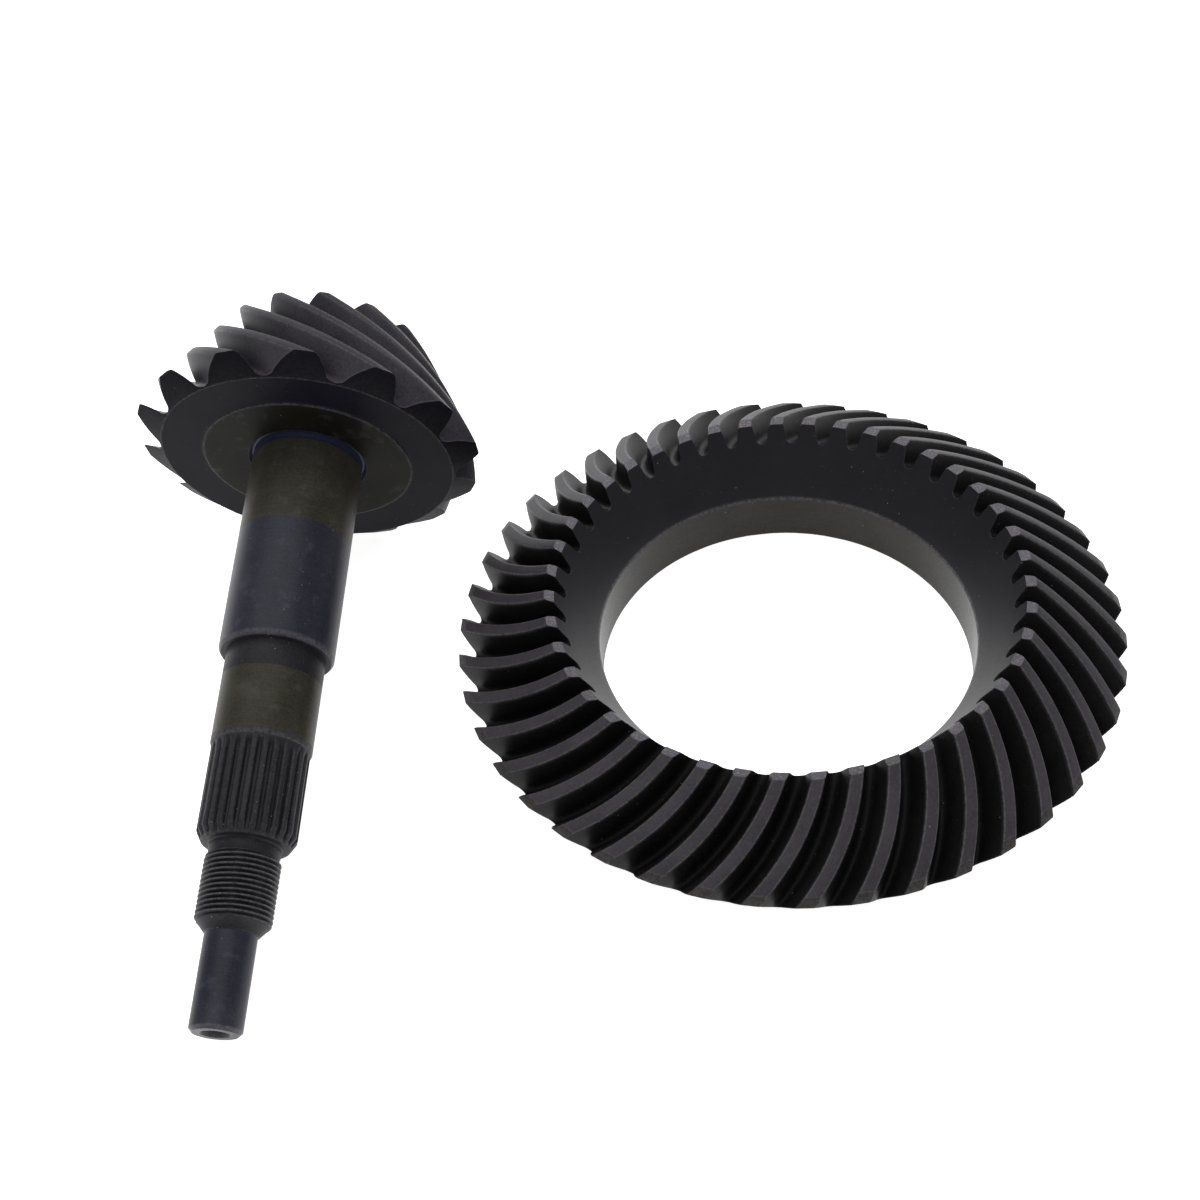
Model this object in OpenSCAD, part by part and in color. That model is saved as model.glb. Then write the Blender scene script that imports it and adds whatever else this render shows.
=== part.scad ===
// Spiral bevel (hypoid) ring gear and pinion of a final drive, lying side by side.
// Origin: centre of the ring gear's bore on its back face. +Z is the ring gear's axis.
// The pinion lies on a heel tooth and on the end of its pilot.

/* [Tooth numbers] */
// Teeth on the ring gear
ring_teeth = 43; // [37:2:47]
// Teeth on the pinion
pinion_teeth = 14; // [13:1:17]

/* [Ring gear] */
// Diameter of the bore
bore_d = 117; // [115:0.5:119]
// Height of the plain bore wall
bore_wall_h = 16.9; // [15:0.1:19]
// Radius of the tooth tips at the inner end
ring_toe_r = 73.9; // [72:0.1:76]
// Height of the tooth tips at the inner end
ring_toe_z = 39.9; // [38:0.1:42]
// Angle of the face cone below horizontal
ring_face_angle = 33.4; // [31:0.1:35]
// Length of a tooth along the face cone
ring_face_w = 31.7; // [29:0.1:34]
// Depth of the teeth, square to the face cone
ring_tooth_h = 8.6; // [8:0.1:10]
// Turn of a tooth from its inner to its outer end
ring_twist = -10.9; // [-13:0.1:-9]
// Direction of the first tooth's inner end
ring_phase = -3.9; // [-8:0.1:8]
// Radius of the back face
ring_back_r = 89.5; // [87:0.5:91]

/* [Ring gear bolt holes] */
// Number of tapped holes in the back face
bolt_count = 10; // [8:2:12]
// Pitch circle diameter of the holes
bolt_pcd = 146; // [142:1:150]
// Diameter of the holes
bolt_hole_d = 8.8; // [8:0.1:10.5]
// Depth of the holes
bolt_hole_depth = 16; // [12:1:18]

/* [Pinion head] */
// Radius of the tooth tips at the big end
pinion_heel_r = 55; // [52:0.1:57]
// Half angle of the tip cone
pinion_cone_angle = 29.4; // [27:0.1:32]
// Length of a tooth along the tip cone
pinion_face_w = 43; // [41:0.5:46]
// Depth of the teeth, square to the tip cone
pinion_tooth_h = 9; // [8:0.1:10]
// Turn of a tooth from the big end to the small end
pinion_twist = -76.5; // [-90:0.5:-60]
// Turn of the first tooth's big end about the shaft
pinion_phase = -0.7; // [-12:0.1:12]
// Diameter of the ground ring on the back of the head
seat_face_d = 67; // [60:1:72]

/* [Pinion shaft] */
// Distance from the end of the pilot to the back of the head
shaft_l = 184; // [180:1:190]
// Diameter of the inner bearing seat
inner_seat_d = 35; // [34:0.1:36]
// Distance from the end of the pilot to the shoulder of the inner seat
shoulder_z = 113.5; // [110:0.5:116]
// Diameter of the outer bearing seat
outer_seat_d = 30; // [29.5:0.1:31]
// Number of splines
spline_teeth = 27; // [24:1:30]
// Outer diameter of the spline
spline_d = 29; // [28.5:0.1:29.4]
// Depth of the spline
spline_depth = 1.4; // [1:0.1:1.8]
// Distance from the end of the pilot to the near end of the spline
spline_z = 53.5; // [52:0.5:56]
// Distance from the end of the pilot to the far end of the spline
spline_end_z = 83; // [80:0.5:86]
// Diameter of the nut thread
thread_d = 22; // [21:0.5:23]
// Pitch of the nut thread
thread_pitch = 1.5; // [1.25:0.25:2]
// Distance from the end of the pilot to the first full turn
thread_z = 30.5; // [29:0.5:32]
// Number of turns
thread_turns = 13; // [10:1:14]
// Diameter of the pilot
pilot_d = 15; // [14:0.1:16]

/* [Place of the pinion] */
// Place of the pilot's end, to the right of the ring gear's axis
pilot_x = -164.4; // [-170:0.1:-160]
// Place of the pilot's end, behind the ring gear's axis
pilot_y = -126.3; // [-130:0.1:-120]
// Heading of the pinion, from +Y towards +X
heading = 4.6; // [3:0.1:7]

/* [Hidden] */
$fn = 96;

bore_r = bore_d / 2;
// Slope of the plain cone between the bore and the teeth
toe_cone_slope = 1.81;
// Radius of the core that the bore cuts away
core_r = bore_r - 6;
core_z = bore_wall_h - toe_cone_slope * (bore_r - core_r);
// Widths of a tooth's land and of its root, at the inner and outer end, as shares of the pitch
ring_tip = [0.31, 0.3];
ring_gap = [0.34, 0.2];
// The same for the pinion, at its big and small end
pinion_tip = [0.27, 0.23];
pinion_gap = [0.23, 0.16];
// Lean of the pinion's teeth, as a share of the pitch
pinion_lean = -0.06;
// How far across its flank a tooth's side is at half its depth
flank_share = 0.58;
// Share of the ring gear's twist that its inner end's slope would give
ring_early = 0.7;
// Chamfer on the outer ends of the ring gear's teeth, outwards and down
heel_chamfer = [2.1, 2];
// The plain inner cone meets the tooth roots this far in and down from the tips
toe_foot = [7.2, 7.6];
// Chamfer on the inner ends of the ring gear's teeth
toe_chamfer = 3;
// The back cone ends this far out from the back face and this far up
back_edge = [1.5, 3];
ring_sections = 8;
pinion_sections = 18;
// Step that keeps the tooth roots clear of the flat faces
root_step = 0.4;

tip_chamfer = 1;
centre_hole_d = 8;
centre_hole_depth = 7;
// The ground ring stands this far off the back of the head
boss_h = 0.5;
// Groove round the root of the shaft
relief_r = inner_seat_d / 2 + 1;
relief_depth = 0.8;
// The head's turned back stops this far inside the tooth roots
back_rim = 1.2;
// Depth to which the shaft runs on inside the head
core_depth = 6;
// Heel tips stand this far in front of the head's back face
heel_z = shaft_l + root_step + pinion_tooth_h * sin(pinion_cone_angle);

root_r = pinion_heel_r - pinion_tooth_h * cos(pinion_cone_angle) - root_step;

// The shaft's tilt puts the heel tips and the pilot's rim on the floor
tilt = atan((pinion_heel_r - pilot_d / 2) / (heel_z - tip_chamfer));

// Share of a ring gear tooth's whole turn that is reached at a share t of its length
function bend(t) = ring_early * t + (1 - ring_early) * t * t;
function mix(a, b, t) = a + (b - a) * t;

// One tooth pitch as [share of the pitch from the tooth's centre, share of the depth]
function tooth_form(tip, gap, lean) = [
    [-tip / 2, 0],
    [tip / 2, 0],
    [mix(tip / 2, lean + 0.5 - gap / 2, flank_share), 0.5],
    [lean + 0.5 - gap / 2, 0.9],
    [lean + 0.5, 1],
    [lean + 0.5 + gap / 2, 0.9],
    [mix(1 - tip / 2, lean + 0.5 + gap / 2, flank_share), 0.5]
];

// A ring of points round the Z axis: the tips at [r, z], the roots sunk by depth along inward
function tooth_ring(teeth, form, place, inward, depth, turn) = [
    for (k = [0 : teeth - 1])
        for (p = form)
            let (a = turn + (k + p[0]) * 360 / teeth, at = place + inward * depth * p[1])
                [at[0] * cos(a), at[0] * sin(a), at[1]]
];

// Triangles of a solid made of rings with n points each, from the top inner one outwards and down
function skin(rings, n) = concat(
    [for (i = [1 : n - 2]) [0, i + 1, i]],
    [
        for (j = [0 : rings - 2])
            for (i = [0 : n - 1])
                for (h = [0, 1])
                    let (a = j * n + i, b = j * n + (i + 1) % n)
                        h == 0 ? [a, b + n, a + n] : [a, b, b + n]
    ],
    [for (i = [1 : n - 2]) [(rings - 1) * n, (rings - 1) * n + i, (rings - 1) * n + i + 1]]
);

module ring_teeth_body() {
    along = [cos(ring_face_angle), -sin(ring_face_angle)];
    inward = [-sin(ring_face_angle), -cos(ring_face_angle)];
    toe = [ring_toe_r, ring_toe_z];
    heel = toe + along * ring_face_w;
    toe_form = tooth_form(ring_tip[0], ring_gap[0], 0);
    heel_form = tooth_form(ring_tip[1], ring_gap[1], 0);
    turn_end = ring_phase + ring_twist;
    n = ring_teeth * len(toe_form);
    function plain(form, place, turn) = tooth_ring(ring_teeth, form, place, [0, 0], 0, turn);
    rings = concat(
        plain(toe_form, [core_r, core_z], ring_phase),
        plain(toe_form, toe - toe_foot - [0, root_step], ring_phase),
        tooth_ring(ring_teeth, toe_form, toe - [toe_chamfer, tip_chamfer], inward,
            ring_tooth_h - toe_chamfer / 2, ring_phase),
        [
            for (j = [0 : ring_sections])
                let (
                    t = j / ring_sections,
                    form = tooth_form(mix(ring_tip[0], ring_tip[1], t), mix(ring_gap[0], ring_gap[1], t), 0)
                )
                    each tooth_ring(ring_teeth, form, toe + along * ring_face_w * t, inward, ring_tooth_h,
                        ring_phase + ring_twist * bend(t))
        ],
        tooth_ring(ring_teeth, heel_form, heel + [heel_chamfer[0], -heel_chamfer[1]], inward,
            ring_tooth_h - heel_chamfer[1], turn_end),
        plain(heel_form, [ring_back_r, 0] + back_edge, turn_end),
        plain(heel_form, [ring_back_r, 0], turn_end)
    );
    polyhedron(rings, skin(len(rings) / n, n), convexity = 8);
}

module ring_gear() {
    color([0.13, 0.12, 0.14])
    difference() {
        ring_teeth_body();
        translate([0, 0, -1]) cylinder(h = ring_toe_z + 2, r = bore_r);
        for (k = [0 : bolt_count - 1])
            rotate([0, 0, (k + 0.5) * 360 / bolt_count])
                translate([bolt_pcd / 2, 0, -1])
                    cylinder(h = bolt_hole_depth + 1, d = bolt_hole_d, $fn = 32);
    }
}

module pinion_head() {
    along = [-sin(pinion_cone_angle), cos(pinion_cone_angle)];
    inward = [-cos(pinion_cone_angle), -sin(pinion_cone_angle)];
    heel = [pinion_heel_r, heel_z];
    front = heel + along * pinion_face_w + inward * (pinion_tooth_h + root_step * 2);
    heel_form = tooth_form(pinion_tip[0], pinion_gap[0], pinion_lean);
    toe_form = tooth_form(pinion_tip[1], pinion_gap[1], pinion_lean);
    turn_end = pinion_phase + pinion_twist;
    n = pinion_teeth * len(heel_form);
    function plain(form, place, turn) = tooth_ring(pinion_teeth, form, place, [0, 0], 0, turn);
    rings = concat(
        plain(toe_form, front, turn_end),
        [
            for (j = [pinion_sections : -1 : 0])
                let (
                    t = j / pinion_sections,
                    tip = mix(pinion_tip[0], pinion_tip[1], t),
                    gap = mix(pinion_gap[0], pinion_gap[1], t)
                )
                    each tooth_ring(pinion_teeth, tooth_form(tip, gap, pinion_lean),
                        heel + along * pinion_face_w * t, inward, pinion_tooth_h,
                        pinion_phase + pinion_twist * t)
        ],
        plain(heel_form, [root_r, shaft_l + root_step / 2], pinion_phase),
        plain(heel_form, [root_r - core_depth * 1.5, shaft_l + core_depth / 2], pinion_phase)
    );
    polyhedron(rings, skin(len(rings) / n, n), convexity = 10);
}

// Half section of the shaft, from the pilot's end to inside the head
module shaft_section() {
    thread_root_r = thread_d / 2 - thread_pitch * 0.6;
    thread_end_z = thread_z + thread_turns * thread_pitch;
    polygon(concat(
        [
            [0, 0],
            [pilot_d / 2 - tip_chamfer, 0],
            [pilot_d / 2, tip_chamfer],
            [pilot_d / 2, thread_z - 3.2]
        ],
        [
            for (k = [0 : thread_turns - 1])
                each [
                    [thread_root_r, thread_z + k * thread_pitch],
                    [thread_d / 2, thread_z + (k + 0.42) * thread_pitch],
                    [thread_d / 2, thread_z + (k + 0.58) * thread_pitch]
                ]
        ],
        [
            [thread_root_r, thread_end_z],
            [thread_root_r, spline_z],
            [spline_d / 2 - 2, spline_z],
            [spline_d / 2, spline_z + 2.5],
            [spline_d / 2, spline_end_z],
            [outer_seat_d / 2, spline_end_z],
            [outer_seat_d / 2, shoulder_z],
            [inner_seat_d / 2 - 0.8, shoulder_z],
            [inner_seat_d / 2, shoulder_z + 0.8],
            [inner_seat_d / 2, shaft_l + relief_depth],
            [relief_r, shaft_l + relief_depth],
            [relief_r, shaft_l - boss_h],
            [seat_face_d / 2, shaft_l - boss_h],
            [seat_face_d / 2, shaft_l],
            [root_r - back_rim, shaft_l],
            [root_r - back_rim, shaft_l + back_rim],
            [root_r - back_rim - core_depth, shaft_l + core_depth],
            [0, shaft_l + core_depth]
        ]
    ));
}

// One groove of the spline, as wide at the outside as the rib between two grooves
module spline_groove() {
    outer_w = PI * spline_d / spline_teeth * 0.62;
    translate([0, 0, spline_z - 1])
        linear_extrude(spline_end_z - spline_z - 1)
            polygon([
                [spline_d / 2 - spline_depth, -outer_w * 0.25],
                [spline_d / 2 + 0.6, -outer_w * 0.65],
                [spline_d / 2 + 0.6, outer_w * 0.65],
                [spline_d / 2 - spline_depth, outer_w * 0.25]
            ]);
}

module pinion_shaft() {
    difference() {
        rotate_extrude() shaft_section();
        for (k = [0 : spline_teeth - 1])
            rotate([0, 0, k * 360 / spline_teeth]) spline_groove();
        rotate_extrude($fn = 48) polygon([
            [0, -1],
            [centre_hole_d / 2 + 1, -1],
            [centre_hole_d / 2 - 2, 2],
            [centre_hole_d / 2 - 2, centre_hole_depth - 1],
            [0, centre_hole_depth]
        ]);
    }
}

module pinion() {
    color([0.12, 0.12, 0.15])
    translate([pilot_x, pilot_y, pilot_d / 2 * cos(tilt) - tip_chamfer * sin(tilt)])
    rotate([tilt - 90, 0, -heading])
    union() {
        pinion_head();
        pinion_shaft();
    }
}

ring_gear();
pinion();
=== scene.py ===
"""Looks of a hypoid ring gear and pinion lying side by side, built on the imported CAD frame."""
import math

import bpy
import numpy as np
from mathutils import Matrix, Vector
from mathutils.geometry import delaunay_2d_cdt


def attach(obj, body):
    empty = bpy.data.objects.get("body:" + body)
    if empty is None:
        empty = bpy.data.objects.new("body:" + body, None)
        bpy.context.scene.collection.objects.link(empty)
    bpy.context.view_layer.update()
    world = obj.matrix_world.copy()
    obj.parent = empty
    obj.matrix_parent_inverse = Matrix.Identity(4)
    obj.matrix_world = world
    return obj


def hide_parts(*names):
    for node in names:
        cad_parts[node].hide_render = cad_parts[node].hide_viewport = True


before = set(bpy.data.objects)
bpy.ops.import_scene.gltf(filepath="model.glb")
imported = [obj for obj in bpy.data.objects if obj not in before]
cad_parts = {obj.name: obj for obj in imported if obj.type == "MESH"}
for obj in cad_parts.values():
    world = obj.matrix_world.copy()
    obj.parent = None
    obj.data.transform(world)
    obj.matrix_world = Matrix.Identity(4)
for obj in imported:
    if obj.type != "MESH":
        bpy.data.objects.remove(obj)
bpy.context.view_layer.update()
MM = 0.001

# ---------------------------------------------------------------- ring gear, mm
RING_TEETH = 43
BORE_R = 58.5
BORE_WALL = 16.9
TOE_CONE_SLOPE = 1.81
TOE_TIP = np.array([73.9, 39.9])
FACET_R = 70.9
FACE_ANGLE = math.radians(33.4)
FACE_WIDTH = 31.7
RING_DEPTH = 8.6
RING_TWIST, RING_EARLY = -10.9, 0.7
RING_PHASE = -3.9
RING_TIP, RING_GAP = (0.31, 0.3), (0.34, 0.2)
HEEL_CHAMFER = np.array([2.1, -2.0])
BACK_CORNER = np.array([91.0, 3.0])
BACK_R = 89.5
BOLTS = 10
BOLT_CIRCLE_R = 73.0
BOLT_HOLE_R, BOLT_HOLE_DEPTH = 4.4, 16.0
BOLT_HOLE_CHAMFER = 0.5

# ---------------------------------------------------------------- pinion, mm
PINION_TEETH = 14
SPLINES = 27
HEEL_R = 55.0
CONE_ANGLE = math.radians(29.4)
PINION_FACE = 43.0
PINION_DEPTH = 9.0
PINION_TWIST, PINION_EARLY = -76.5, 1.0
PINION_PHASE = -0.7
PINION_TIP, PINION_GAP = (0.27, 0.23), (0.23, 0.16)
PINION_LEAN = -0.06
SHAFT_LENGTH = 184.0
ROOT_STEP = 0.4
ANNULUS_R = 33.2
SEAT_R, BLUE_FROM, STEP_Z = 17.5, 154.0, 113.5
OUTER_SEAT_R, OUTER_SEAT_END = 15.0, 85.6
SPLINE_R, SPLINE_DEPTH = 14.5, 1.4
THREAD_R, THREAD_ROOT_R, THREAD_PITCH = 11.0, 10.08, 1.5
THREAD_FROM, THREAD_TO = 30.3, 50.2
PILOT_R = 7.5
END_CHAMFER = 1.0
PILOT_END = (-164.4, -126.3)
HEADING = math.radians(4.6)

# finishes, in the order of each piece's material slots
LAND, FLANK, CONE, FACET, BORE, BACK = range(6)
P_LAND, P_FLANK, P_END, P_BACK, P_ANNULUS, P_GROOVE, P_SEAT, P_BLUE, P_DARK = range(9)

TURN = 360.0


def mix(a, b, t):
    return a + (b - a) * t


def bend(t, early):
    return early * t + (1 - early) * t * t


def cross(a, b):
    return a[..., 0] * b[..., 1] - a[..., 1] * b[..., 0]


class Skin:
    """Rings of points round the Z axis. The outside is on the left of the way the rings are added."""

    def __init__(self, columns):
        self.columns = columns
        self.rings, self.worn_and_lit, self.finish = [], [], []

    # The last argument is the share of the lighter edge colour: part edge wear, part painted highlight.
    def ring(self, radius, height, turn, finish, worn_and_lit=0.0):
        """finish is that of the band from this ring to the next one, whole or per column."""
        one = np.ones(self.columns)
        a = np.radians(turn * one)
        self.rings.append(
            np.stack([radius * one * np.cos(a), radius * one * np.sin(a), height * one], 1)
        )
        self.worn_and_lit.append(worn_and_lit * one)
        self.finish.append((finish * one).astype(int))

    def build(self):
        n = self.columns
        i = np.arange(n)
        k = (i + 1) % n
        bands = [
            np.stack([j * n + i, (j + 1) * n + i, (j + 1) * n + k, j * n + k], 1)
            for j in range(len(self.rings) - 1)
        ]
        faces = [f.tolist() for band in bands for f in band]
        finish = np.concatenate(self.finish[:-1]).tolist()
        return np.concatenate(self.rings), np.concatenate(self.worn_and_lit), faces, finish


def make_piece(name, points, worn_and_lit, faces, finish, materials, place, smooth_angle):
    """A mesh piece in its place. points are in mm along the piece's own axes, which its finishes follow."""
    mesh = bpy.data.meshes.new(name)
    mesh.from_pydata(points.tolist(), [], faces)
    mesh.polygons.foreach_set("material_index", np.array(finish, np.int32))
    mesh.polygons.foreach_set("use_smooth", np.ones(len(faces), bool))
    at = mesh.attributes.new("at", "FLOAT_VECTOR", "POINT")
    at.data.foreach_set("vector", points.astype(np.float32).ravel())
    # Share of the lighter edge colour at each point: edge wear and painted highlight on edges.
    worn_and_lit_layer = mesh.attributes.new("worn_and_lit", "FLOAT", "POINT")
    worn_and_lit_layer.data.foreach_set("value", np.asarray(worn_and_lit, np.float32))
    mesh.transform(Matrix.Scale(MM, 4) @ place)
    for m in materials:
        mesh.materials.append(m)
    mesh.set_sharp_from_angle(angle=math.radians(smooth_angle))
    mesh.update()
    piece = bpy.data.objects.new(name, mesh)
    bpy.context.scene.collection.objects.link(piece)
    return piece


class Teeth:
    """Columns of a toothed ring. A pitch runs from a land's edge down a flank, over the root and up."""

    EDGE = (-1.0, -0.4, 0.2, 0.8)
    # Share of that colour across the land's rounded edges: edge wear and painted edge highlight.
    EDGE_WEAR_AND_HIGHLIGHT = (0.15, 0.8, 0.8, 0.2)
    FLANK = (0.15, 0.26, 0.39, 0.52, 0.65, 0.77, 0.87)
    ROOT = ((0.28, 0.945), (0.62, 0.985))

    def __init__(self, teeth, phase, twist, early, tips, gaps, depth, edge_round, lean=0.0):
        self.teeth, self.phase, self.twist, self.early = teeth, phase, twist, early
        self.tips, self.gaps = tips, gaps
        self.edge_round, self.lean = edge_round, lean
        half = len(self.EDGE) + len(self.FLANK) + len(self.ROOT)
        self.per_tooth = 2 * half + 1
        self.columns = teeth * self.per_tooth
        round_down = [edge_round / depth * 0.5 * (1 + out) ** 2 / 1.6 for out in self.EDGE]
        down = round_down + list(self.FLANK) + [depth_share for _, depth_share in self.ROOT]
        self.share_of_depth = np.tile(down + [1.0] + down[::-1], teeth)
        rub_and_highlight = list(self.EDGE_WEAR_AND_HIGHLIGHT) + [0.0] * (len(self.FLANK) + len(self.ROOT))
        self.worn_and_lit = np.tile(rub_and_highlight + [0.0] + rub_and_highlight[::-1], teeth)
        land = [1, 1] + [0] * (self.per_tooth - 5) + [1, 1, 1]
        self.on_land = np.tile(land, teeth).astype(bool)

    def turn(self, t, radius):
        """Direction of every column at the share t of the tooth's length, in degrees."""
        s = np.clip(t, 0.0, 1.0) * np.ones(self.columns)
        pitch = 2 * math.pi * radius / self.teeth
        edge = mix(self.tips[0], self.tips[1], s) / 2
        half_gap = mix(self.gaps[0], self.gaps[1], s) / 2
        sides = []
        for side in (1, -1):
            root = np.full(self.columns, 0.5 + side * self.lean)
            foot = root - half_gap
            columns = [edge + out * self.edge_round / pitch for out in self.EDGE]
            start = edge + self.EDGE[-1] * self.edge_round / pitch
            for d in self.FLANK:
                f = (d - 0.07) / 0.83
                columns.append(mix(start, foot, f + 0.32 * f * (1 - f)))
            last = columns[-1]
            for share, _ in self.ROOT:
                columns.append(mix(last, root, share))
            sides.append(columns)
        middle = np.full(self.columns, 0.5 + self.lean)
        table = np.stack(sides[0] + [middle] + [1 - c for c in sides[1][::-1]])
        place = np.tile(np.arange(self.per_tooth), self.teeth)
        share = table[place, np.arange(self.columns)]
        tooth = np.repeat(np.arange(self.teeth), self.per_tooth)
        return (
            self.phase
            + self.twist * bend(t, self.early)
            + (tooth + share) * TURN / self.teeth
        )


# ---------------------------------------------------------------- ring gear
def ring_gear_mesh():
    g = Teeth(RING_TEETH, RING_PHASE, RING_TWIST, RING_EARLY, RING_TIP, RING_GAP, RING_DEPTH, 0.4)
    skin = Skin(g.columns)
    along = np.array([math.cos(FACE_ANGLE), -math.sin(FACE_ANGLE)])
    inward = np.array([-math.sin(FACE_ANGLE), -math.cos(FACE_ANGLE)])
    sunk = g.share_of_depth[:, None] * RING_DEPTH * inward
    cone_foot = np.array([BORE_R, BORE_WALL])
    cone_way = np.array([1.0, TOE_CONE_SLOPE])
    facet_foot = cone_foot + cone_way * (FACET_R - BORE_R)
    facet_way = TOE_TIP - facet_foot
    heel_tip = TOE_TIP + along * FACE_WIDTH
    rim = heel_tip + HEEL_CHAMFER
    back_way = BACK_CORNER - rim

    def reach(start, way, foot, line):
        return cross(foot - start, line) / cross(way, line)

    toe = TOE_TIP + sunk
    to_facet = reach(toe, -along, facet_foot, facet_way)
    to_cone = reach(toe, -along, cone_foot, cone_way)
    toe_reach = np.minimum(to_facet, to_cone)
    on_facet = to_facet < to_cone
    heel = heel_tip + sunk
    to_chamfer = reach(heel, along, heel_tip, HEEL_CHAMFER)
    to_back = reach(heel, along, rim, back_way)
    heel_reach = np.minimum(to_chamfer, to_back)
    on_chamfer = to_chamfer < to_back

    toe_edge = toe - along * toe_reach[:, None]
    heel_edge = heel + along * heel_reach[:, None]
    toe_turn = g.turn(-toe_reach / FACE_WIDTH, TOE_TIP[0])
    heel_turn = g.turn(1 + heel_reach / FACE_WIDTH, heel_tip[0])
    even = g.turn(-toe_reach.max() / FACE_WIDTH, TOE_TIP[0])
    rim_turn = g.turn(1 + heel_reach.max() / FACE_WIDTH, heel_tip[0])

    # from the bore's lower edge up the wall and the plain cone
    skin.ring(BORE_R + 0.5, 0.0, even, BORE, 0.5)
    skin.ring(BORE_R, 0.5, even, BORE, 0.5)
    skin.ring(BORE_R, 1.2, even, BORE)
    skin.ring(BORE_R, BORE_WALL - 0.9, even, BORE)
    skin.ring(BORE_R, BORE_WALL - 0.32, even, BORE, 0.6)
    # The edge between the bore wall and the cone takes the lighter edge colour: painted highlight, with wear.
    skin.ring(BORE_R + 0.06, BORE_WALL - 0.1, even, CONE, 1.0)
    skin.ring(BORE_R + 0.2, BORE_WALL + 0.2, even, CONE, 1.0)
    for out in (0.55, 3.0, 6.0):
        skin.ring(*(cone_foot + cone_way * out), even, CONE)

    # the teeth's inner ends, on the cone and its flat chamfer
    cone_unit = cone_way / np.linalg.norm(cone_way)
    facet_unit = facet_way / np.linalg.norm(facet_way)
    near = np.where(on_facet[:, None], facet_foot, toe_edge - cone_unit * 0.55)
    ends = np.where(on_facet, FACET, CONE)
    skin.ring(*(near - cone_unit * 0.3).T, even, CONE, 0.0)
    skin.ring(*near.T, even, ends, np.where(on_facet, 0.45, 0.0))
    way = np.where(on_facet[:, None], facet_unit, cone_unit)
    gap = np.linalg.norm(toe_edge - near, axis=1, keepdims=True)
    foot = toe_edge - way * np.minimum(0.3, gap / 2)
    skin.ring(*foot.T, toe_turn, ends, np.where(on_facet, 0.5, 0.0))

    # along the teeth
    rows = 44
    land = np.where(g.on_land, LAND, FLANK)
    steps = np.concatenate([[0.0, 0.012], np.linspace(0.03, 0.97, rows - 4), [0.988, 1.0]])
    for u in steps:
        s = mix(-toe_reach, FACE_WIDTH + heel_reach, u)
        p = TOE_TIP + sunk + along * s[:, None]
        at_end = 1.0 if u in (0.0, 1.0) else 0.0
        worn_and_lit = np.maximum(g.worn_and_lit, 0.75 * at_end)
        skin.ring(p[:, 0], p[:, 1], g.turn(s / FACE_WIDTH, mix(TOE_TIP[0], heel_tip[0], u)), land, worn_and_lit)
    skin.finish[-1][:] = BACK

    # the heel chamfer, the back cone and the back's outer edge
    back_unit = back_way / np.linalg.norm(back_way)
    chamfer_unit = HEEL_CHAMFER / np.linalg.norm(HEEL_CHAMFER)
    first = np.where(on_chamfer[:, None], chamfer_unit, back_unit)
    skin.ring(*(heel_edge + first * 0.25).T, mix(heel_turn, rim_turn, 0.08), BACK, 0.3)
    corner = np.where(on_chamfer[:, None], rim, heel_edge + back_unit * 0.5)
    skin.ring(*corner.T, rim_turn, BACK, np.where(on_chamfer, 0.7, 0.0))
    skin.ring(*(corner + back_unit * 0.4).T, rim_turn, BACK, 0.0)
    for share in (0.55, 0.8, 0.985):
        p = mix(rim, BACK_CORNER, share)
        skin.ring(p[0], p[1], rim_turn, BACK, 0.0)
    skin.ring(*mix(BACK_CORNER, np.array([BACK_R, 0.0]), 0.1), rim_turn, BACK, 0.6)
    skin.ring(*mix(BACK_CORNER, np.array([BACK_R, 0.0]), 0.9), rim_turn, BACK, 0.6)
    skin.ring(BACK_R, 0.0, rim_turn, BACK, 0.5)
    points, worn_and_lit, faces, finish = skin.build()
    return close_back(points, worn_and_lit, faces, finish, g.columns)


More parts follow.
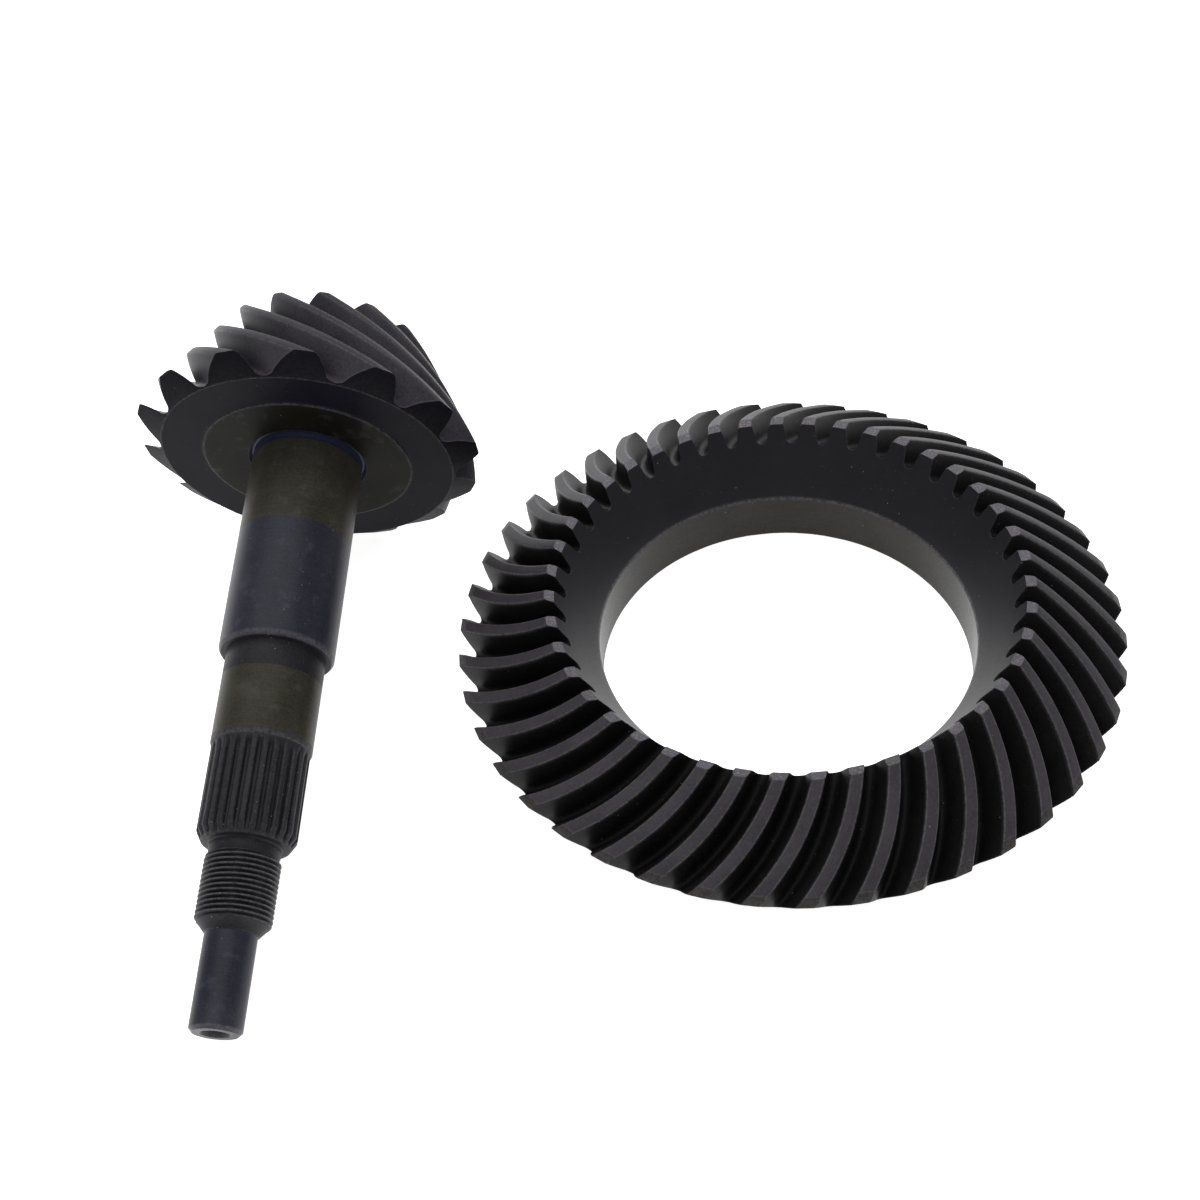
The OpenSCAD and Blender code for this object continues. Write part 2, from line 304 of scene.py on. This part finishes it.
def close_back(points, worn_and_lit, faces, finish, n):
    """The flat back between the first and the last ring, with its blind tapped holes."""
    inner = np.arange(n)
    outer = np.arange(len(points) - n, len(points))
    around = 40
    mouths, extra, extra_worn_and_lit, walls = [], [], [], []
    base = len(points)
    for k in range(BOLTS):
        middle = math.radians((k + 0.5) * TURN / BOLTS)
        x, y = BOLT_CIRCLE_R * math.cos(middle), BOLT_CIRCLE_R * math.sin(middle)
        a = np.linspace(0, 2 * math.pi, around, endpoint=False)
        rings = (
            (BOLT_HOLE_R + BOLT_HOLE_CHAMFER, 0.0),
            (BOLT_HOLE_R, BOLT_HOLE_CHAMFER),
            (BOLT_HOLE_R, BOLT_HOLE_DEPTH),
        )
        for r, h in rings:
            extra.append(np.stack([x + r * np.cos(a), y + r * np.sin(a), h + 0 * a], 1))
            extra_worn_and_lit.append(np.full(around, 0.5 if h < 1 else 0.0))
        extra.append(np.array([[x, y, BOLT_HOLE_DEPTH + 0.3]]))
        extra_worn_and_lit.append(np.zeros(1))
        first = base + k * (3 * around + 1)
        mouths.append(np.arange(first, first + around))
        for j in range(2):
            for i in range(around):
                p, q = first + j * around + i, first + j * around + (i + 1) % around
                walls.append([p, q, q + around, p + around])
        tip = first + 3 * around
        top = first + 2 * around
        walls += [[top + i, top + (i + 1) % around, tip] for i in range(around)]
    points = np.concatenate([points] + extra)
    worn_and_lit = np.concatenate([worn_and_lit] + extra_worn_and_lit)
    loops = [inner, outer] + mouths
    used = np.concatenate(loops)
    edges, start = [], 0
    for loop in loops:
        m = len(loop)
        edges += [(start + i, start + (i + 1) % m) for i in range(m)]
        start += m
    flat = [Vector(points[v, :2]) for v in used]
    _, _, triangles, origin, _, _ = delaunay_2d_cdt(flat, edges, [], 1, 1e-6)
    centres = [points[m].mean(0)[:2] for m in mouths]
    back = []
    for t in triangles:
        v = [int(used[origin[i][0]]) for i in t]
        c = points[v].mean(0)[:2]
        if np.hypot(*c) < BORE_R + 0.4 or min(np.hypot(*(c - m)) for m in centres) < BOLT_HOLE_R:
            continue
        a, b, d = points[v][:, :2]
        back.append(v if cross(b - a, d - a) < 0 else v[::-1])
    faces += back + walls
    finish += [BACK] * (len(back) + len(walls))
    return points, worn_and_lit, faces, finish


# ---------------------------------------------------------------- pinion
def spline_columns():
    """Share of the pitch and of the depth across one rib and one space of the spline."""
    rib = (
        (0.0, 0.0), (0.16, 0.0), (0.205, 0.07), (0.245, 0.26),
        (0.3, 0.66), (0.35, 0.93), (0.4, 1.0), (0.5, 1.0),
    )
    other = [(1 - s, d) for s, d in rib[-2:0:-1]]
    one = np.array(list(rib) + other)
    k = np.repeat(np.arange(SPLINES), len(one))
    turn = (k + np.tile(one[:, 0], SPLINES)) * TURN / SPLINES
    return turn + PINION_PHASE, np.tile(one[:, 1], SPLINES)


def pinion_mesh():
    g = Teeth(
        PINION_TEETH, PINION_PHASE, PINION_TWIST, PINION_EARLY,
        PINION_TIP, PINION_GAP, PINION_DEPTH, 0.65, PINION_LEAN,
    )
    skin = Skin(g.columns)
    up = np.array([-math.sin(CONE_ANGLE), math.cos(CONE_ANGLE)])
    inward = np.array([-math.cos(CONE_ANGLE), -math.sin(CONE_ANGLE)])
    heel_tip = np.array([HEEL_R, SHAFT_LENGTH + ROOT_STEP + PINION_DEPTH * math.sin(CONE_ANGLE)])
    toe_tip = heel_tip + up * PINION_FACE
    sunk = g.share_of_depth[:, None] * PINION_DEPTH * inward
    toe_turn = g.turn(1.0, toe_tip[0])
    heel_turn = g.turn(0.0, HEEL_R)

    # small end: centre hole, flat face, then the teeth's ends
    front = toe_tip + inward * (PINION_DEPTH + 2 * ROOT_STEP)
    centre_hole = (
        (0.3, 6.5, 0), (2.0, 6.0, 0), (2.0, 2.2, 0),
        (4.2, 0.15, 0.7), (4.6, 0.0, 0.7), (5.2, 0.0, 0),
    )
    for r, drop, worn_and_lit in centre_hole:
        skin.ring(r, front[1] - drop, toe_turn, P_BACK, worn_and_lit)
    skin.ring(front[0] - 1.0, front[1], toe_turn, P_BACK, 0.0)
    skin.ring(front[0], front[1], toe_turn, P_END, 0.4)
    end = toe_tip + sunk
    set_in = inward * np.minimum(0.3, (1 - g.share_of_depth) * 2)[:, None]
    skin.ring(*(end + set_in).T, toe_turn, P_END, 0.0)

    # along the teeth, from the small end to the big end
    land = np.where(g.on_land, P_LAND, P_FLANK)
    rows = 46
    for u in np.concatenate([[0.0, 0.008], np.linspace(0.025, 0.975, rows - 4), [0.992, 1.0]]):
        t = 1 - u
        p = mix(toe_tip, heel_tip, u) + sunk
        worn_and_lit = np.maximum(g.worn_and_lit, 0.8 if u in (0.0, 1.0) else 0.0)
        skin.ring(p[:, 0], p[:, 1], g.turn(t, mix(toe_tip[0], HEEL_R, u)), land, worn_and_lit)
    skin.finish[-1][:] = P_END

    # back of the head
    root = heel_tip + inward * PINION_DEPTH
    rim = heel_tip + sunk + set_in
    skin.ring(*rim.T, heel_turn, P_END, 0.0)
    skin.ring(root[0] - 0.12, root[1] - 0.15, heel_turn, P_END, 0.1)
    skin.ring(root[0] - 0.45, SHAFT_LENGTH, heel_turn, P_BACK, 0.6)
    skin.ring(root[0] - 0.9, SHAFT_LENGTH, heel_turn, P_BACK, 0.0)
    skin.ring(ANNULUS_R + 1.2, SHAFT_LENGTH, heel_turn, P_BACK, 0.0)
    skin.ring(ANNULUS_R + 0.5, SHAFT_LENGTH - 0.05, heel_turn, P_BACK, 0.2)
    skin.ring(ANNULUS_R + 0.25, SHAFT_LENGTH - 0.4, heel_turn, P_ANNULUS, 0.7)
    skin.ring(ANNULUS_R, SHAFT_LENGTH - 0.5, heel_turn, P_ANNULUS, 0.5)
    skin.ring(ANNULUS_R - 0.6, SHAFT_LENGTH - 0.5, heel_turn, P_ANNULUS, 0.0)
    skin.ring(19.3, SHAFT_LENGTH - 0.5, heel_turn, P_ANNULUS, 0.0)
    skin.ring(18.9, SHAFT_LENGTH - 0.45, heel_turn, P_GROOVE, 0.6)

    # shaft: fillet groove, inner seat, outer seat
    spline_turn, spline_down = spline_columns()

    def shaft(r, z, finish, share=0.0, worn_and_lit=0.0):
        skin.ring(r, z, mix(heel_turn, spline_turn, share), finish, worn_and_lit)

    shaft(18.5, SHAFT_LENGTH + 0.3, P_GROOVE)
    shaft(18.0, SHAFT_LENGTH + 0.75, P_GROOVE)
    shaft(SEAT_R - 0.05, SHAFT_LENGTH + 0.6, P_GROOVE)
    shaft(SEAT_R - 0.4, SHAFT_LENGTH - 0.2, P_GROOVE)
    shaft(SEAT_R - 0.4, SHAFT_LENGTH - 1.6, P_GROOVE)
    shaft(SEAT_R - 0.08, SHAFT_LENGTH - 2.1, P_SEAT, 0.0, 0.3)
    shaft(SEAT_R, SHAFT_LENGTH - 2.5, P_SEAT, 0.0, 0.2)
    shaft(SEAT_R, 170.0, P_SEAT, 0.2)
    shaft(SEAT_R, BLUE_FROM, P_SEAT, 0.3)
    shaft(SEAT_R, BLUE_FROM - 0.5, P_BLUE, 0.3)
    shaft(SEAT_R, 136.0, P_BLUE, 0.5)
    shaft(SEAT_R, STEP_Z + 2.1, P_BLUE, 0.7)
    shaft(SEAT_R, STEP_Z + 1.2, P_BLUE, 0.7, 0.8)
    shaft(SEAT_R - 0.15, STEP_Z + 0.8, P_BLUE, 0.7, 1.0)
    shaft(SEAT_R - 0.7, STEP_Z + 0.1, P_BLUE, 0.7, 0.6)
    shaft(SEAT_R - 1.0, STEP_Z, P_DARK, 0.7, 0.0)
    shaft(OUTER_SEAT_R, STEP_Z, P_DARK, 0.7, 0.0)
    shaft(OUTER_SEAT_R - 0.1, STEP_Z - 0.6, P_DARK, 0.7, 0.0)
    shaft(OUTER_SEAT_R - 0.1, STEP_Z - 1.3, P_DARK, 0.7, 0.0)
    shaft(OUTER_SEAT_R, STEP_Z - 1.6, P_DARK, 0.7, 0.0)
    shaft(OUTER_SEAT_R, 105.0, P_SEAT, 0.8, 0.0)
    shaft(OUTER_SEAT_R, 95.0, P_SEAT, 0.9, 0.0)
    shaft(OUTER_SEAT_R, OUTER_SEAT_END, P_SEAT, 1.0, 0.0)
    shaft(OUTER_SEAT_R, OUTER_SEAT_END - 0.4, P_DARK, 1.0, 0.2)
    shaft(OUTER_SEAT_R, OUTER_SEAT_END - 1.7, P_DARK, 1.0, 0.6)
    shaft(OUTER_SEAT_R - 0.25, OUTER_SEAT_END - 2.3, P_DARK, 1.0, 0.9)
    shaft(SPLINE_R, OUTER_SEAT_END - 2.5, P_DARK, 1.0, 0.3)

    # spline, with grooves that run out towards the seat
    rib_worn_and_lit = np.where(spline_down < 0.3, 0.35, 0.0) * np.where(spline_down > 0.01, 1.0, 0.35)
    run_out = ((82.6, 0.0), (81.8, 0.25), (81.0, 0.6), (80.0, 0.88))
    for z, cut in run_out + tuple((z, 1.0) for z in (79.0, 70.0, 60.0, 56.6)):
        down = SPLINE_DEPTH * cut * spline_down
        shaft(SPLINE_R - down, z, P_DARK, 1.0, rib_worn_and_lit * min(1.0, cut + 0.2))
    shaft(SPLINE_R - 0.15 - 1.25 * spline_down, 56.3, P_DARK, 1.0, rib_worn_and_lit * 2)
    shaft(13.35 - 0.35 * spline_down, 54.6, P_DARK, 1.0, rib_worn_and_lit)
    shaft(12.9 - 0.05 * spline_down, 53.8, P_DARK, 1.0, 0.3)
    shaft(12.6, 53.6, P_DARK, 1.0, 0.0)
    shaft(10.9, 53.5, P_DARK, 1.0, 0.0)
    shaft(10.4, 53.0, P_DARK, 1.0, 0.0)

    # right-hand nut thread
    rows_per_turn = 8
    total = int((THREAD_TO - THREAD_FROM) / THREAD_PITCH * rows_per_turn)
    shaft(THREAD_R - 0.6, THREAD_TO + 1.2, P_DARK, 1.0, 0.0)
    for j in range(total + 1):
        z = THREAD_TO - j * THREAD_PITCH / rows_per_turn
        phase = np.mod(z / THREAD_PITCH - spline_turn / TURN, 1.0)
        away = np.abs(phase - 0.5) * 2
        high = np.clip((1 - away) * 1.12 / 0.86, 0.0, 1.0)
        fade = min(1.0, THREAD_TO - z, (z - THREAD_FROM) / 0.8 + 0.15)
        r = mix(THREAD_ROOT_R, THREAD_R, high * fade)
        if z < THREAD_FROM + 1.0:
            r = np.minimum(r, 10.2 + (z - THREAD_FROM) * 0.8)
        # The thread crests take the lighter edge colour: painted highlight along them, with wear.
        shaft(r, z, P_DARK, 1.0, 1.2 * np.clip(high * 4 - 3, 0, 1) * fade)
    shaft(9.95, THREAD_FROM - 0.1, P_DARK, 1.0, 0.2)
    shaft(PILOT_R + 0.3, 27.7, P_BLUE, 1.0, 0.0)
    shaft(PILOT_R, 27.3, P_BLUE, 1.0, 0.0)
    shaft(PILOT_R, 14.0, P_BLUE, 1.0, 0.0)
    shaft(PILOT_R, 1.5, P_BLUE, 1.0, 0.1)
    shaft(PILOT_R, END_CHAMFER, P_BLUE, 1.0, 0.9)
    shaft(PILOT_R - END_CHAMFER, 0.0, P_BLUE, 1.0, 0.9)
    shaft(PILOT_R - 1.4, 0.0, P_BLUE, 1.0, 0.1)
    shaft(4.3, 0.0, P_BLUE, 1.0, 0.7)
    shaft(4.0, 0.2, P_DARK, 1.0, 0.5)
    shaft(2.2, 2.0, P_DARK, 1.0, 0.0)
    shaft(2.0, 6.0, P_DARK, 1.0, 0.0)
    shaft(0.3, 6.9, P_DARK, 1.0, 0.0)
    points, worn_and_lit, faces, finish = skin.build()
    n = g.columns
    i = np.arange(n)
    k = (i + 1) % n
    last_ring = len(points) - n
    points = np.concatenate([points, [[0, 0, front[1] - 6.6], [0, 0, 7.0]]])
    worn_and_lit = np.concatenate([worn_and_lit, [0.0, 0.0]])
    faces += [[len(points) - 2, a, b] for a, b in zip(i.tolist(), k.tolist())]
    faces += [[last_ring + b, last_ring + a, len(points) - 1] for a, b in zip(i.tolist(), k.tolist())]
    finish += [P_BACK] * n + [P_DARK] * n
    return points, worn_and_lit, faces, finish


def pinion_place():
    """Where the pinion lies: on the tips of its big end and on the rim of its pilot."""
    heel_z = SHAFT_LENGTH + ROOT_STEP + PINION_DEPTH * math.sin(CONE_ANGLE)
    tilt = math.atan((HEEL_R - PILOT_R) / (heel_z - END_CHAMFER))
    height = PILOT_R * math.cos(tilt) - END_CHAMFER * math.sin(tilt)
    return (
        Matrix.Translation((PILOT_END[0], PILOT_END[1], height))
        @ Matrix.Rotation(-HEADING, 4, "Z")
        @ Matrix.Rotation(tilt - math.pi / 2, 4, "X")
    )


# ---------------------------------------------------------------- finishes
class Nodes:
    """Short names for the shader nodes that the finishes share."""

    def __init__(self, name):
        self.material = bpy.data.materials.new(name)
        self.material.use_nodes = True
        self.tree = self.material.node_tree
        self.shader = self.tree.nodes["Principled BSDF"]

    def add(self, kind, inputs=(), **settings):
        node = self.tree.nodes.new(kind)
        for key, value in settings.items():
            setattr(node, key, value)
        for socket, value in dict(inputs).items():
            self.put(node, socket, value)
        return node

    def put(self, node, socket, value):
        if isinstance(value, bpy.types.NodeSocket):
            self.tree.links.new(value, node.inputs[socket])
        else:
            node.inputs[socket].default_value = value

    def attribute(self, name, output):
        return self.add("ShaderNodeAttribute", attribute_name=name).outputs[output]

    def math(self, operation, *values):
        return self.add("ShaderNodeMath", enumerate(values), operation=operation).outputs[0]

    def noise(self, vector, scale, detail=3.0, rough=0.55):
        inputs = {"Vector": vector, "Scale": scale, "Detail": detail, "Roughness": rough}
        return self.add("ShaderNodeTexNoise", inputs).outputs[0]

    def ramp(self, value, low, high, bottom=0.0, top=1.0):
        inputs = {"Value": value, "From Min": low, "From Max": high, "To Min": bottom, "To Max": top}
        return self.add("ShaderNodeMapRange", inputs, interpolation_type="SMOOTHSTEP").outputs[0]

    def blend(self, share, a, b):
        node = self.add("ShaderNodeMix", data_type="RGBA")
        self.put(node, 0, share)
        for index, value in ((6, a), (7, b)):
            self.put(node, index, value if isinstance(value, bpy.types.NodeSocket) else (*value, 1.0))
        return node.outputs[2]

    def dust(self, at, scale, size, density):
        """Small round specks: cells of size across, shown in a share density of the places."""
        cell = self.add("ShaderNodeTexVoronoi", {"Vector": at, "Scale": scale, "Randomness": 1.0})
        pick = self.add("ShaderNodeSeparateColor", {"Color": cell.outputs["Color"]})
        radius = self.math("MULTIPLY", pick.outputs[1], size * scale)
        inside = self.math("SUBTRACT", radius, cell.outputs["Distance"])
        spot = self.ramp(inside, 0.0, 0.25 * size * scale)
        return self.math("MULTIPLY", spot, self.math("LESS_THAN", pick.outputs[0], density))


# Lighter colour on edges and crests: part edge wear, part painted highlight where they catch the light.
WORN_EDGE_AND_HIGHLIGHT = (0.065, 0.062, 0.066)
PALE_DUST, GREY_DUST = (0.27, 0.24, 0.19), (0.16, 0.155, 0.15)
GRIT = (0.30, 0.27, 0.31)


def steel(name, dark, light, rough, specular, turned=0.0, dust=0.1, speckle=0.0, patches=None):
    """Dark phosphated steel. dark and light are its base colours, turned is the depth of lathe marks."""
    m = Nodes(name)
    at = m.attribute("at", "Vector")
    worn_and_lit = m.attribute("worn_and_lit", "Fac")
    broad = m.noise(at, 0.07, 4.0, 0.6)
    medium = m.noise(at, 1.2, 4.0, 0.6)
    fine = m.noise(at, 3.2, 3.0, 0.65)
    tone = m.math("ADD", m.math("MULTIPLY", broad, 0.55), m.math("MULTIPLY", medium, 0.45))
    colour = m.blend(m.ramp(tone, 0.36, 0.66), dark, light)
    if patches is not None:
        patch = m.ramp(m.noise(at, 0.16, 5.0, 0.65), 0.56, 0.68)
        colour = m.blend(m.math("MULTIPLY", patch, 0.7), colour, patches)
    grain = m.ramp(fine, 0.35, 0.7)
    colour = m.blend(m.math("MULTIPLY", grain, 0.3), colour, tuple(1.9 * c for c in light))
    height = m.math("MULTIPLY", fine, 0.35)
    if turned:
        part = m.add("ShaderNodeSeparateXYZ", {0: at})
        x, y = part.outputs[0], part.outputs[1]
        squares = m.math("ADD", m.math("POWER", x, 2.0), m.math("POWER", y, 2.0))
        radius = m.math("SQRT", squares)
        sideways = m.math("ADD", m.math("MULTIPLY", x, 0.012), m.math("MULTIPLY", y, 0.017))
        path = m.add("ShaderNodeCombineXYZ", {0: radius, 1: part.outputs[2], 2: sideways}).outputs[0]
        marks = m.noise(path, 4.0, 4.0, 0.7)
        height = m.math("ADD", height, m.math("MULTIPLY", marks, 1.1 * turned))
        shine = m.math("MULTIPLY", m.ramp(marks, 0.45, 0.75), 0.45 * turned)
        colour = m.blend(shine, colour, tuple(2.2 * c for c in light))
    if speckle:
        grit = m.ramp(m.noise(at, 2.0, 2.0, 0.8), 0.52, 0.66)
        colour = m.blend(m.math("MULTIPLY", grit, speckle), colour, GRIT)
    # Lighter, less rough edges: edge wear and painted highlight.
    rub_and_highlight = m.math("MULTIPLY", worn_and_lit, m.ramp(m.noise(at, 0.9, 4.0, 0.7), 0.34, 0.62, 0.25, 1.0))
    colour = m.blend(rub_and_highlight, colour, WORN_EDGE_AND_HIGHLIGHT)
    if dust:
        specks = m.dust(at, 0.55, 0.22, dust)
        tiny = m.dust(at, 1.3, 0.13, dust)
        colour = m.blend(m.math("MULTIPLY", specks, 0.6), colour, PALE_DUST)
        colour = m.blend(m.math("MULTIPLY", tiny, 0.6), colour, GREY_DUST)
    m.put(m.shader, "Base Color", colour)
    m.put(m.shader, "Specular IOR Level", specular)
    sheen = m.math("ADD", m.math("MULTIPLY", medium, 0.16), rough - 0.08)
    m.put(m.shader, "Roughness", m.math("SUBTRACT", sheen, m.math("MULTIPLY", rub_and_highlight, 0.12)))
    bump = m.add("ShaderNodeBump", {"Height": height, "Strength": 0.35, "Distance": 0.00008})
    m.put(m.shader, "Normal", bump.outputs[0])
    return m.material


ring_materials = [
    steel("ring_land", (0.014, 0.012, 0.0145), (0.030, 0.026, 0.031), 0.50, 0.22, dust=0.16),
    # The flanks get a far darker base than the lands: painted shade in the gaps between the teeth.
    steel("ring_flank_painted_shade", (0.003, 0.0028, 0.0028), (0.0075, 0.007, 0.0068), 0.46, 0.10, dust=0.14),
    steel("ring_cone", (0.003, 0.003, 0.005), (0.006, 0.0055, 0.008), 0.50, 0.24, turned=0.35, dust=0.14),
    steel("ring_facet", (0.036, 0.032, 0.039), (0.075, 0.067, 0.080), 0.45, 0.35, speckle=0.7, dust=0.12),
    steel("ring_bore", (0.006, 0.0054, 0.0048), (0.016, 0.014, 0.0115), 0.30, 0.14, turned=1.0, dust=0.08),
    steel("ring_back", (0.009, 0.007, 0.005), (0.018, 0.014, 0.010), 0.5, 0.22, turned=0.4, dust=0.08),
]
pinion_materials = [
    steel("pinion_land", (0.013, 0.012, 0.015), (0.027, 0.0245, 0.029), 0.46, 0.12, dust=0.10),
    steel("pinion_flank", (0.016, 0.0145, 0.018), (0.034, 0.031, 0.037), 0.44, 0.08, dust=0.08),
    steel("pinion_end", (0.0016, 0.0016, 0.003), (0.0042, 0.0038, 0.006), 0.52, 0.04, turned=0.3, dust=0.08),
    steel("pinion_back", (0.0018, 0.0016, 0.0034), (0.0045, 0.004, 0.0075), 0.5, 0.05, turned=0.6, dust=0.14),
    steel(
        "pinion_annulus", (0.0022, 0.0021, 0.0016), (0.006, 0.0055, 0.004), 0.45, 0.05,
        turned=0.7, dust=0.05, patches=(0.022, 0.020, 0.016),
    ),
    # Blue temper colour of the fillet groove, brighter than the shaft's blue zone: painted light against the
    # shade at the shaft's root.
    steel("pinion_groove_blue_and_painted_light", (0.010, 0.012, 0.027), (0.020, 0.023, 0.050), 0.36, 0.15, turned=0.3, dust=0.1),
    steel(
        "pinion_seat", (0.013, 0.012, 0.0085), (0.029, 0.026, 0.018), 0.38, 0.10,
        turned=0.8, dust=0.08, patches=(0.040, 0.036, 0.028),
    ),
    steel(
        "pinion_blue", (0.0085, 0.0083, 0.0138), (0.0175, 0.017, 0.027), 0.38, 0.14,
        turned=0.6, dust=0.12, patches=(0.030, 0.030, 0.044),
    ),
    steel("pinion_dark", (0.006, 0.0055, 0.007), (0.016, 0.0145, 0.018), 0.48, 0.12, dust=0.4),
]

ring = make_piece("ring_gear_detail", *ring_gear_mesh(), ring_materials, Matrix.Identity(4), 32)
pinion = make_piece("pinion_detail", *pinion_mesh(), pinion_materials, pinion_place(), 32)
for piece, node, body in ((ring, "ring_gear", "ring"), (pinion, "pinion", "pinion")):
    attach(piece, body)
    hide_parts(node)


# ---------------------------------------------------------------- floor, light and camera
def area_light(name, place, aim, size, power):
    light = bpy.data.lights.new(name, "AREA")
    light.shape, light.size, light.energy = "SQUARE", size, power
    lamp = bpy.data.objects.new(name, light)
    lamp.location = place
    lamp.rotation_euler = (Vector(aim) - Vector(place)).to_track_quat("-Z", "Y").to_euler()
    bpy.context.scene.collection.objects.link(lamp)


FLOOR_HALF = 4.0
FLOOR_Z = -0.0002
floor_corners = [
    (x * FLOOR_HALF, y * FLOOR_HALF, FLOOR_Z) for x, y in ((-1, -1), (1, -1), (1, 1), (-1, 1))
]
floor_mesh = bpy.data.meshes.new("floor")
floor_mesh.from_pydata(floor_corners, [], [[0, 1, 2, 3]])
floor = bpy.data.objects.new("floor", floor_mesh)
bpy.context.scene.collection.objects.link(floor)
paper = bpy.data.materials.new("paper")
paper.use_nodes = True
shader = paper.node_tree.nodes["Principled BSDF"]
shader.inputs["Base Color"].default_value = (0.93, 0.93, 0.93, 1)
shader.inputs["Roughness"].default_value = 0.9
shader.inputs["Specular IOR Level"].default_value = 0.1
shader.inputs["Emission Color"].default_value = (1, 0.99, 0.98, 1)
shader.inputs["Emission Strength"].default_value = 0.82
floor_mesh.materials.append(paper)

world = bpy.data.worlds.new("studio")
bpy.context.scene.world = world
world.use_nodes = True
sky = world.node_tree.nodes["Background"]
sky.inputs["Color"].default_value = (0.95, 0.97, 1.0, 1)
sky.inputs["Strength"].default_value = 0.6
area_light("overhead", (-0.15, 0.25, 1.3), (0, 0, 0), 1.5, 14.0)

CAMERA_PLACE = (-0.0280, -0.3482, 0.4214)
CAMERA_HEADING = math.radians(-4.77)
CAMERA_DIP = math.radians(47.83)
CAMERA_ROLL = math.radians(-6.42)
lens = bpy.data.cameras.new("camera")
lens.lens = 51.0
lens.sensor_width = 36.0
lens.clip_start = 0.01
camera = bpy.data.objects.new("camera", lens)
camera.matrix_world = (
    Matrix.Translation(CAMERA_PLACE)
    @ Matrix.Rotation(-CAMERA_HEADING, 4, "Z")
    @ Matrix.Rotation(math.pi / 2 - CAMERA_DIP, 4, "X")
    @ Matrix.Rotation(CAMERA_ROLL, 4, "Z")
)
bpy.context.scene.collection.objects.link(camera)
bpy.context.scene.camera = camera
bpy.context.scene.view_settings.view_transform = "Standard"
